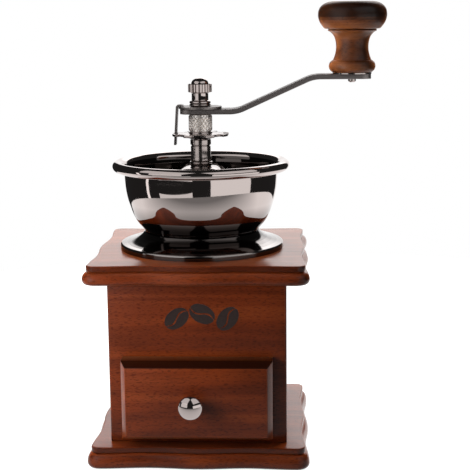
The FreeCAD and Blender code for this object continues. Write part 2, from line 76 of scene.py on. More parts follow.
# Box and drawer
PANEL_EDGE = 0.25
BOX_EDGE = 1.0
FRONT_BEVEL = (2.3, 4.5)
OPENING_HALF = 31.0
OPENING_FLOOR = 17.0
OPENING_HEIGHT = 31.0

# Hopper
SHEET = 1.2
NECK_RADIUS = 27.6
THROAT_RADIUS = 14.0
RIM_ROLL = 2.45

# Bent steel strips, and the bore of all that runs on the shaft
STEEL_EDGE = 0.35
SHAFT_BORE = 3.06

# Countersunk wood screws under the base, and the room round them in their holes
SCREW_HEAD = 3.3
SCREW_SHANK = 1.5
SCREW_CONE = 2.0
SCREW_SINK = 0.3
SCREW_ROOM = 0.1

# Studio: a dark room, a white backdrop behind the object, a round white table and softboxes. The backdrop lies
# between two directions, in radians from straight behind, and gets brighter with height, in parts of the sphere.
ROOM_LEVEL = 0.02
BACKDROP_LEFT = math.radians(14)
BACKDROP_RIGHT = math.radians(20)
BACKDROP_RISE = (0.2, 0.36)
BACKDROP_GLOW = (1.15, 2.2)
BACKDROP_TOP = 0.6
BACKDROP_FADE = 0.06
# The table is whiter away from the object. In metal it shows a painted reflection, a glow darker in front of the object
# than behind it.
TABLE_CENTRE = (45.0, 60.0)
TABLE_RADIUS = 400.0
TABLE_NEAR_TO_FAR = (100.0, 300.0)
TABLE_LEVEL = (0.86, 1.0)
TABLE_BOUNCE = 0.14
TABLE_SHADOW = 0.3
TABLE_FRONT_TO_BACK = (-250.0, 50.0)
TABLE_IN_METAL = (0.24, 1.15)
# Name, place, aim, width, height, power. Lamps light the wood; cards are only mirrored in the metal.
LAMPS = (
    ("key_softbox", (-115, -145, 100), (0, -40, 75), 100, 100, 0.3),
    ("handle_softbox", (-40, -60, 200), (72, 0, 195), 60, 60, 0.09),
    ("low_softbox", (-260, -500, 10), (60, 0, 150), 300, 120, 0.55),
    ("top_softbox", (-160, 40, 720), (0, 0, 95), 420, 420, 2.3),
    ("back_left_softbox", (-450, 480, 330), (20, 0, 150), 300, 300, 7.0),
    ("back_right_softbox", (450, 480, 330), (20, 0, 150), 300, 300, 7.0),
)
CARDS = (
    ("right_card", (640, -540, -20), (0, 0, -20), 1050, 450, 1.56),
    ("left_card", (-400, -445, 157), (0, 0, 157), 480, 266, 0.36),
    ("left_low_card", (-344, -491, -154), (0, 0, -154), 585, 180, 0.3),
    ("left_strip", (-700, -100, 20), (0, 0, 20), 60, 330, 0.09),
    ("high_left_card", (-427, -346, 560), (0, 0, 130), 800, 560, 1.1),
    ("high_right_card", (420, -355, 560), (0, 0, 130), 800, 560, 1.1),
)


def srgb(code):
    """Linear colour from an sRGB hex value."""
    parts = [int(code[place:place + 2], 16) / 255 for place in (1, 3, 5)]
    linear = [part / 12.92 if part <= 0.04045 else ((part + 0.055) / 1.055) ** 2.4 for part in parts]
    return (*linear, 1.0)


def add(tree, kind, inputs=None, stops=None, **settings):
    """Adds a node with its settings; an input is a value or the socket that feeds it, stops fill a ramp."""
    node = tree.nodes.new(kind)
    for name, value in settings.items():
        setattr(node, name, value)
    if stops:
        while len(node.color_ramp.elements) < len(stops):
            node.color_ramp.elements.new(1.0)
        for element, (place, colour) in zip(node.color_ramp.elements, stops):
            element.position = place
            element.color = colour
    for name, value in (inputs or {}).items():
        if isinstance(value, bpy.types.NodeSocket):
            tree.links.new(value, node.inputs[name])
        else:
            node.inputs[name].default_value = value
    return node


def grey(level):
    """Colour with all three parts at one linear level."""
    return (level, level, level, 1.0)


# Materials

def finish(name, paint, **facts):
    """Material whose shader takes the inputs that paint works out from the facts."""
    material = bpy.data.materials.new(name)
    material.use_nodes = True
    tree = material.node_tree
    tree.nodes.clear()
    shader = add(tree, "ShaderNodeBsdfPrincipled", paint(tree, **facts))
    add(tree, "ShaderNodeOutputMaterial", {"Surface": shader.outputs["BSDF"]})
    return material


def sawn_wood(tree, tones, along, gloss, coat, coat_ior=1.25, coat_gloss=0.22):
    """Solid wood with its grain along one axis, under varnish.

    Broad soft figure, thin grain lines and short dark pores all run along the grain. The pores are drawn
    about twice as wide as real ones so that they show. The tone attribute above 0 darkens the wood, as painted
    shade and along the front panel's eased edges; below 0 it pales the wood, as painted light and where an
    edge is rubbed pale. A warm sheen stands for light that the varnish scatters.
    """
    shade_and_dark_edge_depth, wear_and_light, sheen, pore_depth = 0.16, -0.6, 0.17, 0.06
    dull, clear = gloss + 0.08, gloss - 0.06
    dark, middle, light = (srgb(tone) for tone in tones)
    shade_and_dark_edge = (*(part * shade_and_dark_edge_depth for part in dark[:3]), 1.0)
    place = add(tree, "ShaderNodeTexCoord").outputs["Object"]
    # Name, width in millimetres, stretch along the grain, detail, distortion
    layers = {}
    for name, width, stretch, detail, distortion in (
            ("figure", 8.0, 14.0, 2.0, 0.8), ("lines", 0.9, 40.0, 3.0, 0.0),
            ("pores", 0.42, 5.0, 1.0, 0.0), ("stain", 30.0, 1.0, 1.0, 0.0)):
        scale = [1.0, 1.0, 1.0]
        scale["XYZ".index(along)] = 1 / stretch
        lay = add(tree, "ShaderNodeMapping", {"Vector": place, "Scale": scale})
        noise = add(tree, "ShaderNodeTexNoise", {"Vector": lay.outputs["Vector"], "Scale": 1 / (width * MM),
                                                 "Detail": detail, "Distortion": distortion})
        layers[name] = noise.outputs["Fac"]
    colour = add(tree, "ShaderNodeValToRGB", {"Fac": layers["figure"]},
                 [(0.30, dark), (0.50, middle), (0.70, light)]).outputs["Color"]
    for name, stops in (("lines", [(0.35, grey(0.88)), (0.60, grey(1.0))]),
                        ("stain", [(0.30, grey(0.82)), (0.70, grey(1.10))]),
                        ("pores", [(0.34, grey(0.55)), (0.46, grey(1.0))])):
        shade = add(tree, "ShaderNodeValToRGB", {"Fac": layers[name]}, stops).outputs["Color"]
        colour = add(tree, "ShaderNodeMix", {0: 1.0, 6: colour, 7: shade},
                     data_type="RGBA", blend_type="MULTIPLY").outputs[2]
    # The last shade is that of the pores, which are also pressed in.
    bump = add(tree, "ShaderNodeBump", {"Height": shade, "Strength": 0.35, "Distance": pore_depth * MM})
    tone = add(tree, "ShaderNodeAttribute", attribute_name="edge_tone").outputs["Fac"]
    worn_and_lit = add(tree, "ShaderNodeMath", {0: tone, 1: wear_and_light}, operation="MULTIPLY").outputs[0]
    for amount, edge in ((tone, shade_and_dark_edge), (worn_and_lit, light)):
        colour = add(tree, "ShaderNodeMix", {0: amount, 6: colour, 7: edge}, data_type="RGBA").outputs[2]
    rough = add(tree, "ShaderNodeMapRange", {"Value": layers["lines"], "To Min": dull, "To Max": clear})
    return {"Base Color": colour, "Roughness": rough.outputs["Result"], "Normal": bump.outputs["Normal"],
            "Specular IOR Level": 0.06, "Coat Weight": coat, "Coat Roughness": coat_gloss, "Coat IOR": coat_ior,
            "Sheen Weight": sheen * coat, "Sheen Roughness": 0.35, "Sheen Tint": srgb("#E8874A")}


def polished_metal(tree, colour, gloss, smear, film=None):
    """Plated metal: a clear mirror with faint smears that dull it in patches.

    Given a colour for painted shade, the tone attribute above 0 darkens the plate towards that colour.
    """
    smear_width = 9.0
    place = add(tree, "ShaderNodeTexCoord").outputs["Object"]
    noise = add(tree, "ShaderNodeTexNoise", {"Vector": place, "Scale": 1 / (smear_width * MM), "Detail": 4.0})
    rough = add(tree, "ShaderNodeMapRange", {"Value": noise.outputs["Fac"], "From Min": 0.35, "From Max": 0.75,
                                             "To Min": gloss, "To Max": gloss + smear})
    plate = srgb(colour)
    if film:
        painted_shade = add(tree, "ShaderNodeAttribute", attribute_name="edge_tone").outputs["Fac"]
        plate = add(tree, "ShaderNodeMix", {0: painted_shade, 6: plate, 7: srgb(film)}, data_type="RGBA").outputs[2]
    return {"Base Color": plate, "Metallic": 1.0, "Roughness": rough.outputs["Result"]}


def drawn_metal(tree, colour, along, gloss):
    """Bare steel with drawing lines along one axis that break up its shine, drawn coarse so that they show."""
    line_width, stretch, line_depth = 0.35, 60.0, 0.02
    scale = [1.0, 1.0, 1.0]
    scale["XYZ".index(along)] = 1 / stretch
    place = add(tree, "ShaderNodeTexCoord").outputs["Object"]
    lay = add(tree, "ShaderNodeMapping", {"Vector": place, "Scale": scale})
    noise = add(tree, "ShaderNodeTexNoise", {"Vector": lay.outputs["Vector"], "Scale": 1 / (line_width * MM),
                                             "Detail": 3.0})
    rough = add(tree, "ShaderNodeMapRange", {"Value": noise.outputs["Fac"], "To Min": gloss - 0.08,
                                             "To Max": gloss + 0.12})
    bump = add(tree, "ShaderNodeBump", {"Height": noise.outputs["Fac"], "Strength": 0.15,
                                        "Distance": line_depth * MM})
    return {"Base Color": srgb(colour), "Metallic": 1.0, "Roughness": rough.outputs["Result"],
            "Normal": bump.outputs["Normal"]}


def cast_metal(tree, colour):
    """Sand-cast iron: dark, grainy and dull."""
    grain, grain_depth = 0.5, 0.1
    place = add(tree, "ShaderNodeTexCoord").outputs["Object"]
    noise = add(tree, "ShaderNodeTexNoise", {"Vector": place, "Scale": 1 / (grain * MM), "Detail": 5.0})
    bump = add(tree, "ShaderNodeBump", {"Height": noise.outputs["Fac"], "Strength": 0.5,
                                        "Distance": grain_depth * MM})
    return {"Base Color": srgb(colour), "Metallic": 0.9, "Roughness": 0.55, "Normal": bump.outputs["Normal"]}


def burnt_mark(tree, colour):
    """Mark burnt into the wood: dull and a little uneven."""
    patch = 1.2
    place = add(tree, "ShaderNodeTexCoord").outputs["Object"]
    noise = add(tree, "ShaderNodeTexNoise", {"Vector": place, "Scale": 1 / (patch * MM), "Detail": 3.0})
    rough = add(tree, "ShaderNodeMapRange", {"Value": noise.outputs["Fac"], "To Min": 0.45, "To Max": 0.75})
    return {"Base Color": srgb(colour), "Roughness": rough.outputs["Result"]}


# Woods: red-brown stain under a satin varnish, a thinner varnish on the hand knob, bare pale beech inside.
box_tones = ("#57220C", "#692A0F", "#7A3515")
handle_tones = ("#45210F", "#6F3B1E", "#945830")
beech_tones = ("#9A6C43", "#BE9060", "#D3AB7C")
boards_wood = finish("stained hardwood, grain left to right", sawn_wood, tones=box_tones, along="X", gloss=0.36,
                     coat=1.0)
sides_wood = finish("stained hardwood, grain front to back", sawn_wood, tones=box_tones, along="Y", gloss=0.36,
                    coat=1.0)
handle_wood = finish("turned dark hardwood", sawn_wood, tones=handle_tones, along="X", gloss=0.45, coat=0.4,
                     coat_ior=1.5, coat_gloss=0.3)
drawer_wood = finish("plain beech, grain front to back", sawn_wood, tones=beech_tones, along="Y", gloss=0.55, coat=0.0)
bottom_wood = finish("plain beech, grain left to right", sawn_wood, tones=beech_tones, along="X", gloss=0.55, coat=0.0)
# Plates: chrome mirrors the room, nickel is softer, the knurl's many small faces glitter, zinc and wire are grey.
# Painted shade: a dark colour mixed into the chrome inside the bowl and round the necks of bowl and flange.
painted_shade_colour = "#17100D"
chrome = finish("bright chrome plate", polished_metal, colour="#C6BAB6", gloss=0.03, smear=0.04)
bowl_chrome = finish("bright chrome plate with coffee dust", polished_metal, colour="#C6BAB6", gloss=0.03, smear=0.04,
                     film=painted_shade_colour)
dull_chrome = finish("chrome plate dulled by handling", polished_metal, colour="#A9A19E", gloss=0.07, smear=0.05,
                     film=painted_shade_colour)
nickel = finish("nickel plate", polished_metal, colour="#B5AAA6", gloss=0.12, smear=0.10)
knurled_nickel = finish("knurled nickel plate", polished_metal, colour="#FFF8F2", gloss=0.36, smear=0.08)
screw_zinc = finish("zinc-plated steel", polished_metal, colour="#B5B3AE", gloss=0.22, smear=0.12)
spring_wire_steel = finish("drawn spring wire", polished_metal, colour="#8C8A8C", gloss=0.25, smear=0.1)
# Bare metals: satin streaks on the strips, a dark dull grain on the castings.
arm_steel = finish("drawn steel strip", drawn_metal, colour="#8E8785", along="X", gloss=0.46)
clip_steel = finish("spring steel strip", drawn_metal, colour="#938C89", along="Z", gloss=0.42)
cast_iron = finish("cast iron", cast_metal, colour="#4A484A")
# Charred wood is almost black and has no varnish.
burnt = finish("burnt wood mark", burnt_mark, colour="#1E0F0A")


# Mesh helpers

def extent(node):
    """Lowest and highest corner of a CAD node in millimetres."""
    low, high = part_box(node)
    return low / MM, high / MM


def body_of(node):
    """Body of the record that a CAD node moves with."""
    for body, nodes in frame["record"]["behaviour"]["bodies"].items():
        if node in nodes:
            return body


def settle(mesh, sharp=SHARP):
    """Joins doubles, turns faces outward and smooths all but the sharp edges."""
    shape = bmesh.new()
    shape.from_mesh(mesh)
    bmesh.ops.remove_doubles(shape, verts=shape.verts, dist=MERGE * MM)
    bmesh.ops.recalc_face_normals(shape, faces=shape.faces)
    shape.to_mesh(mesh)
    shape.free()
    mesh.shade_smooth()
    mesh.set_sharp_from_angle(angle=math.radians(sharp))
    return mesh


def new_mesh(name, points, faces, sharp=SHARP):
    """Mesh from points in millimetres and faces."""
    mesh = bpy.data.meshes.new(name)
    mesh.from_pydata([Vector(point) * MM for point in points], [], faces)
    return settle(mesh, sharp)


def show(mesh, material, body):
    """Makes a piece of a finished mesh that rides on a body."""
    piece = bpy.data.objects.new(mesh.name, mesh)
    bpy.context.scene.collection.objects.link(piece)
    mesh.materials.clear()
    mesh.materials.append(material)
    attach(piece, body)
    return piece


def dress(mesh, material, node):
    """Shows a mesh in place of a CAD node."""
    piece = show(mesh, material, body_of(node))
    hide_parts(node)
    return piece


def cad_copy(node, material, ease=0.0):
    """Copy of a CAD node with its triangles joined; to ease crisp edges, its flat faces are made whole first."""
    shape = bmesh.new()
    shape.from_mesh(frame["nodes"][node].data)
    if ease:
        flat, bent = math.radians(1), math.radians(35)
        bmesh.ops.remove_doubles(shape, verts=shape.verts, dist=MERGE * MM)
        bmesh.ops.dissolve_limit(shape, angle_limit=flat, verts=shape.verts, edges=shape.edges)
        crisp = [line for line in shape.edges if line.is_manifold and line.calc_face_angle() > bent]
        bmesh.ops.bevel(shape, geom=crisp, offset=ease * MM, segments=2, affect="EDGES", profile=0.5,
                        clamp_overlap=True)
        bmesh.ops.triangulate(shape, faces=[face for face in shape.faces if len(face.verts) > 4])
    mesh = bpy.data.meshes.new(node + ("_eased" if ease else "_faired"))
    shape.to_mesh(mesh)
    shape.free()
    if "custom_normal" in mesh.attributes:
        mesh.attributes.remove(mesh.attributes["custom_normal"])
    return dress(settle(mesh, COPY_SHARP), material, node)


def drilled(mesh, holes, sharp):
    """Cuts closed turned shapes out of a mesh."""
    name = mesh.name
    shape = bmesh.new()
    for hole in holes:
        shape.from_mesh(hole)
    cutter = bpy.data.objects.new("holes", bpy.data.meshes.new("holes"))
    shape.to_mesh(cutter.data)
    shape.free()
    board = bpy.data.objects.new("board", mesh)
    for thing in (board, cutter):
        bpy.context.scene.collection.objects.link(thing)
    cut = board.modifiers.new("holes", "BOOLEAN")
    cut.object = cutter
    cut.solver = "EXACT"
    bpy.context.view_layer.update()
    result = bpy.data.meshes.new_from_object(board.evaluated_get(bpy.context.evaluated_depsgraph_get()))
    for thing in (board, cutter):
        bpy.data.objects.remove(thing)
    bpy.data.meshes.remove(mesh)
    result.name = name
    return settle(result, sharp)


def paint_light_and_shade_by_height(mesh, low, steps):
    """Gives each corner the tone of the first step whose top lies above it, painting light below 0 and shade above 0.
    """
    heights = [corner.co.z / MM - low for corner in mesh.vertices]
    tones = [next(tone for top, tone in steps if height < top) for height in heights]
    mesh.attributes.new("edge_tone", "FLOAT", "POINT").data.foreach_set("value", tones)


def cross_recess(mesh, level, up, width, reach, depth):
    """Presses a cross slot into the end of a screw, above a level if up is 1 and below it if up is -1."""
    shape = bmesh.new()
    shape.from_mesh(mesh)

    def at_end(face):
        return up * face.calc_center_median().z > up * level * MM

    for across in (Vector((1, 0, 0)), Vector((0, 1, 0))):
        for cut in (-reach, -width / 2, width / 2, reach):
            faces = [face for face in shape.faces if at_end(face)]
            lines = list({line for face in faces for line in face.edges})
            corners = list({corner for face in faces for corner in face.verts})
            bmesh.ops.bisect_plane(shape, geom=faces + lines + corners, dist=MERGE * MM / 10,
                                   plane_co=across * cut * MM, plane_no=across)
    slot = []
    for face in shape.faces:
        x, y = (abs(place) / MM for place in face.calc_center_median().xy)
        if at_end(face) and min(x, y) < width / 2 and max(x, y) < reach:
            slot.append(face)
    pressed = bmesh.ops.extrude_face_region(shape, geom=slot)["geom"]
    floor = [corner for corner in pressed if isinstance(corner, bmesh.types.BMVert)]
    bmesh.ops.translate(shape, verts=floor, vec=(0, 0, -up * depth * MM))
    shape.to_mesh(mesh)
    shape.free()
    return settle(mesh)


def arc(centre, radius, start, end, count=12):
    """Places on a round from one direction in degrees to another."""
    turns = [math.radians(start + (end - start) * step / count) for step in range(count + 1)]
    return [(centre[0] + radius * math.cos(turn), centre[1] + radius * math.sin(turn)) for turn in turns]


def curve(places, count=10):
    """Smooth line through places, each stretch in count steps."""
    places = [Vector(place) for place in places]
    runs = [(after - before).length for before, after in zip(places, places[1:])]
    slopes = [(after - before) / run for before, after, run in zip(places, places[1:], runs)]
    ways = [slopes[0]]
    for place in range(1, len(slopes)):
        share = runs[place - 1] / (runs[place - 1] + runs[place])
        ways.append(slopes[place - 1].lerp(slopes[place], share))
    ways.append(slopes[-1])
    line = [tuple(places[0])]
    for place, run in enumerate(runs):
        for step in range(1, count + 1):
            t = step / count
            start = places[place] * (1 + 2 * t) * (1 - t) ** 2 + ways[place] * run * t * (1 - t) ** 2
            end = places[place + 1] * t * t * (3 - 2 * t) + ways[place + 1] * run * t * t * (t - 1)
            line.append(tuple(start + end))
    return line


def raised(outline, low):
    """Outline moved up to a level."""
    return [(radius, low + height) for radius, height in outline]


def band(low, high, around):
    """Faces between two rings of points that start at two places in a list."""
    return [(low + side, low + (side + 1) % around, high + (side + 1) % around, high + side) for side in range(around)]


def turned(name, outline, centre=(0.0, 0.0), sides=128):
    """Solid turned about a vertical axis from an outline of (radius, height) places."""
    points = []
    for radius, height in outline:
        for side in range(sides):
            turn = 2 * math.pi * side / sides
            points.append((centre[0] + radius * math.cos(turn), centre[1] + radius * math.sin(turn), height))
    on_axis = outline[0][0] < MERGE and outline[-1][0] < MERGE
    rings = len(outline)
    faces = []
    for ring in range(rings - 1 if on_axis else rings):
        faces += band(ring * sides, (ring + 1) % rings * sides, sides)
    return new_mesh(name, points, faces)


def bent_route(corners, bend, count=8):
    """Line along (x, z) corners with round bends."""
    places = [Vector(corner) for corner in corners]
    route = [places[0]]
    for before, corner, after in zip(places, places[1:], places[2:]):
        inward = (before - corner).normalized()
        onward = (after - corner).normalized()
        half = inward.angle(onward) / 2
        middle = (inward + onward).normalized()
        centre = corner + middle * (bend / math.sin(half))
        sweep = math.pi / 2 - half
        side = Vector((-middle.y, middle.x))
        if side.dot(inward) < 0:
            side = -side
        for step in range(count + 1):
            turn = sweep * (1 - 2 * step / count)
            route.append(centre - middle * bend * math.cos(turn) + side * bend * math.sin(turn))
    route.append(places[-1])
    return route


def rounded_section(half_width, half_thick, edge, count=4):
    """Corners of a flat bar's section, as (across, through) places."""
    section = []
    for quarter, (across, through) in enumerate(((1, 1), (-1, 1), (-1, -1), (1, -1))):
        middle = (across * (half_width - edge), through * (half_thick - edge))
        section += arc(middle, edge, 90 * quarter, 90 * quarter + 90, count)
    return section


def strip(name, route, width, thick, edge, end_round=0.0):
    """Flat bar across Y along an (x, z) route, with eased edges and round corners at its ends."""
    steps = 8
    stations = [Vector(place) for place in route]
    if end_round:
        eased = [end_round * (1 - math.cos(math.pi / 2 * step / steps)) for step in range(1, steps + 1)]
        start_way = (stations[1] - stations[0]).normalized()
        end_way = (stations[-2] - stations[-1]).normalized()
        stations = ([stations[0]] + [stations[0] + start_way * run for run in eased] + stations[1:-1]
                    + [stations[-1] + end_way * run for run in reversed(eased)] + [stations[-1]])
    first, last = stations[0], stations[-1]
    points = []
    for index, place in enumerate(stations):
        before = stations[max(index - 1, 0)]
        after = stations[min(index + 1, len(stations) - 1)]
        way = (after - before).normalized()
        through = Vector((-way.y, way.x))
        half = width / 2
        if end_round:
            run = min((place - first).length, (place - last).length, end_round)
            half -= end_round - math.sqrt(end_round ** 2 - (end_round - run) ** 2)
        for across, rise in rounded_section(half, thick / 2, edge):
            at = place + through * rise
            points.append((at.x, across, at.y))
    around = len(points) // len(stations)
    faces = [tuple(range(around)), tuple(range(len(points) - around, len(points)))]
    for index in range(len(stations) - 1):
        faces += band(index * around, (index + 1) * around, around)
    return new_mesh(name, points, faces)


def slab(name, low, high, edge=PANEL_EDGE, front_bevel=None, round_upright=None, opening=None, edge_tone=0.0):
    """Board between two corners with eased edges; it may have a bevelled front, round upright edges or an opening."""
    shape = bmesh.new()
    x, y, z = zip(low, high)
    loops = []
    for (left, right), (bottom, top) in [(x, z)] + ([opening] if opening else []):
        ring = [(left, bottom), (right, bottom), (right, top), (left, top)]
        for depth in y:
            loops.append([shape.verts.new(Vector((across, depth, height)) * MM) for across, height in ring])
    pairs = [(0, 1)] + ([(2, 3), (0, 2), (1, 3)] if opening else [])
    for place in range(4):
        onward = (place + 1) % 4
        for one, other in pairs:
            shape.faces.new([loops[one][place], loops[one][onward], loops[other][onward], loops[other][place]])
    if not opening:
        shape.faces.new(loops[0])
        shape.faces.new(loops[1])
    bmesh.ops.recalc_face_normals(shape, faces=shape.faces)
    if front_bevel:
        wide, deep = front_bevel
        front = [line for line in shape.edges if all(end.co.y < (low[1] + MERGE) * MM for end in line.verts)]
        bmesh.ops.bevel(shape, geom=front, offset=wide * MM, segments=1, affect="EDGES", profile=0.5)
        for corner in shape.verts:
            if MERGE < corner.co.y / MM - low[1] < wide + MERGE:
                corner.co.y = (low[1] + deep) * MM
    if round_upright is not None:
        ends = [end for end in shape.verts if abs(end.co.y - round_upright * MM) < MERGE * MM
                and abs(end.co.x) > (high[0] - MERGE) * MM]
        upright = [line for line in shape.edges if all(end in ends for end in line.verts)]
        bmesh.ops.bevel(shape, geom=upright, offset=BOX_EDGE * MM, segments=6, affect="EDGES", profile=0.5)
    bent = math.radians(20)
    crisp = [line for line in shape.edges if line.is_manifold and line.calc_face_angle() > bent]
    tones = shape.faces.layers.float.new("edge_tone")
    eased = bmesh.ops.bevel(shape, geom=crisp, offset=edge * MM, segments=3, affect="EDGES", profile=0.5)
    for face in eased["faces"]:
        face[tones] = edge_tone
    shape.normal_update()
    # Painted shade: the upward faces of a raised front, its top and upper bevel, are darkened fully.
    for face in shape.faces:
        if front_bevel and face.normal.z > 0.3:
            face[tones] = 1.0
    mesh = bpy.data.meshes.new(name)
    shape.to_mesh(mesh)
    shape.free()
    return settle(mesh)


def grown(name, tree, start, sizes):
    """Plain mesh that a node tree makes from a start mesh and named sizes."""
    grower = bpy.data.objects.new(name, start)
    bpy.context.scene.collection.objects.link(grower)
    modifier = grower.modifiers.new(name, "NODES")
    modifier.node_group = tree
    for item in tree.interface.items_tree:
        if item.name in sizes:
            modifier[item.identifier] = sizes[item.name]
    bpy.context.view_layer.update()
    depsgraph = bpy.context.evaluated_depsgraph_get()
    mesh = bpy.data.meshes.new_from_object(grower.evaluated_get(depsgraph), depsgraph=depsgraph)
    mesh.name = name
    grower.modifiers.remove(modifier)
    bpy.data.objects.remove(grower)
    return mesh


def node_tree(name, sizes):
    """Empty geometry tree with named inputs; returns the tree and its input node."""
    tree = bpy.data.node_groups.new(name, "GeometryNodeTree")
    tree.interface.new_socket("Geometry", in_out="INPUT", socket_type="NodeSocketGeometry")
    tree.interface.new_socket("Geometry", in_out="OUTPUT", socket_type="NodeSocketGeometry")
    for size, kind in sizes.items():
        tree.interface.new_socket(size, in_out="INPUT", socket_type="NodeSocket" + kind)
    return tree, add(tree, "NodeGroupInput").outputs


def end_tree(tree, geometry, material, core=None):
    """Joins the result to a core, makes instances real, sets the material and sends it out."""
    if core:
        joined = add(tree, "GeometryNodeJoinGeometry", {"Geometry": core})
        tree.links.new(geometry, joined.inputs[0])
        geometry = joined.outputs[0]
    real = add(tree, "GeometryNodeRealizeInstances", {"Geometry": geometry})
    painted = add(tree, "GeometryNodeSetMaterial", {"Geometry": real.outputs[0], "Material": material})
    add(tree, "NodeGroupOutput", {"Geometry": painted.outputs[0]})


def growing_turn(tree, columns, sweep):
    """Rotation about Z that grows with each point, by a whole sweep over all columns."""
    index = add(tree, "GeometryNodeInputIndex").outputs[0]
    share = add(tree, "ShaderNodeMath", {0: index, 1: columns}, operation="DIVIDE").outputs[0]
    turn = add(tree, "ShaderNodeMath", {0: share, 1: sweep}, operation="MULTIPLY").outputs[0]
    return add(tree, "ShaderNodeCombineXYZ", {"Z": turn}).outputs[0]


def ring_of(tree, thing, columns, radius):
    """Copies of a thing round a circle, each turned to face outward."""
    circle = add(tree, "GeometryNodeMeshCircle", {"Vertices": columns, "Radius": radius})
    return add(tree, "GeometryNodeInstanceOnPoints", {"Points": circle.outputs[0], "Instance": thing,
                                                      "Rotation": growing_turn(tree, columns, 2 * math.pi)}).outputs[0]


def diamond_knurl_tree():
    """Rows of small blunt pyramids round a bar, each row half a step on from the last."""
    blunt_top, foot = 0.27, 0.5
    tree, given = node_tree("diamond knurl", {"Radius": "Float", "Width": "Float", "Height": "Float",
                                              "Depth": "Float", "Low": "Float", "Columns": "Int", "Rows": "Int",
                                              "Finish": "Material"})
    pyramid = add(tree, "GeometryNodeMeshCone", {"Vertices": 4, "Radius Top": blunt_top, "Radius Bottom": foot,
                                                 "Depth": given["Depth"]})
    spread = add(tree, "ShaderNodeCombineXYZ", {"X": given["Height"], "Y": given["Width"], "Z": 1.0}).outputs[0]
    stud = add(tree, "GeometryNodeTransform", {"Geometry": pyramid.outputs[0], "Scale": spread}).outputs[0]
    stud = add(tree, "GeometryNodeTransform", {"Geometry": stud, "Rotation": (0, math.pi / 2, 0)}).outputs[0]
    ring = ring_of(tree, stud, given["Columns"], given["Radius"])
    start = add(tree, "ShaderNodeCombineXYZ", {"Z": given["Low"]}).outputs[0]
    half_height = add(tree, "ShaderNodeMath", {0: given["Height"], 1: 2.0}, operation="DIVIDE").outputs[0]
    step = add(tree, "ShaderNodeCombineXYZ", {"Z": half_height}).outputs[0]
    rows = add(tree, "GeometryNodeMeshLine", {"Count": given["Rows"], "Start Location": start, "Offset": step})
    knurl = add(tree, "GeometryNodeInstanceOnPoints",
                {"Points": rows.outputs[0], "Instance": ring,
                 "Rotation": growing_turn(tree, given["Columns"], math.pi)}).outputs[0]
    end_tree(tree, knurl, given["Finish"], given["Geometry"])
    return tree


def straight_knurl_tree():
    """Upright round ridges side by side round a band."""
    tree, given = node_tree("straight knurl", {"Radius": "Float", "Width": "Float", "Height": "Float",
                                               "Middle": "Float", "Columns": "Int", "Finish": "Material"})
    half = add(tree, "ShaderNodeMath", {0: given["Width"], 1: 2.0}, operation="DIVIDE").outputs[0]
    ridge = add(tree, "GeometryNodeMeshCylinder", {"Vertices": 8, "Radius": half, "Depth": given["Height"]})
    lift = add(tree, "ShaderNodeCombineXYZ", {"Z": given["Middle"]}).outputs[0]
    ridge = add(tree, "GeometryNodeTransform", {"Geometry": ridge.outputs[0], "Translation": lift}).outputs[0]
    ring = ring_of(tree, ridge, given["Columns"], given["Radius"])
    end_tree(tree, ring, given["Finish"], given["Geometry"])
    return tree


def coil_tree():
    """Round wire wound into a coil spring."""
    tree, given = node_tree("coil", {"Radius": "Float", "Wire": "Float", "Turns": "Float", "Low": "Float",
                                     "Height": "Float", "Finish": "Material"})
    spiral = add(tree, "GeometryNodeCurveSpiral", {"Resolution": 40, "Rotations": given["Turns"],
                                                   "Start Radius": given["Radius"],
                                                   "End Radius": given["Radius"], "Height": given["Height"]})
    lift = add(tree, "ShaderNodeCombineXYZ", {"Z": given["Low"]}).outputs[0]
    path = add(tree, "GeometryNodeTransform", {"Geometry": spiral.outputs[0], "Translation": lift}).outputs[0]
    section = add(tree, "GeometryNodeCurvePrimitiveCircle", {"Resolution": 12, "Radius": given["Wire"]})
    wire = add(tree, "GeometryNodeCurveToMesh", {"Curve": path, "Profile Curve": section.outputs[0],
                                                 "Fill Caps": True})
    end_tree(tree, wire.outputs[0], given["Finish"])
    return tree


def fasteners_tree():
    """One fastener set at every point of the start mesh."""
    tree, given = node_tree("fasteners", {"Fastener": "Object", "Finish": "Material"})
    one = add(tree, "GeometryNodeObjectInfo", {"Object": given["Fastener"]}, transform_space="ORIGINAL")
    points = add(tree, "GeometryNodeMeshToPoints", {"Mesh": given["Geometry"]})
    many = add(tree, "GeometryNodeInstanceOnPoints", {"Points": points.outputs[0],
                                                      "Instance": one.outputs["Geometry"]})
    end_tree(tree, many.outputs[0], given["Finish"])
    return tree


# Wooden pieces

def board_outline(half):
    """Wavy square as (place, outward way) pairs."""
    straight = half - BOARD_CORNER
    per_side, per_corner = 72, 14
    side = []
    for step in range(per_side):
        x = straight * (2 * step / per_side - 1)
        swing = 2 * math.pi * x / straight
        y = WAVE_DEPTH / 2 * (1 - math.cos(swing)) - half
        rise = WAVE_DEPTH / 2 * math.sin(swing) * 2 * math.pi / straight
        side.append((Vector((x, y)), Vector((rise, -1)).normalized()))
    for step in range(per_corner):
        turn = math.pi / 2 * (step / per_corner - 1)
        way = Vector((math.cos(turn), math.sin(turn)))
        side.append((Vector((straight, -straight)) + way * BOARD_CORNER, way))
    loop = []
    for quarter in range(4):
        spin = Matrix.Rotation(math.pi / 2 * quarter, 2)
        loop += [(spin @ place, spin @ way) for place, way in side]
    return loop


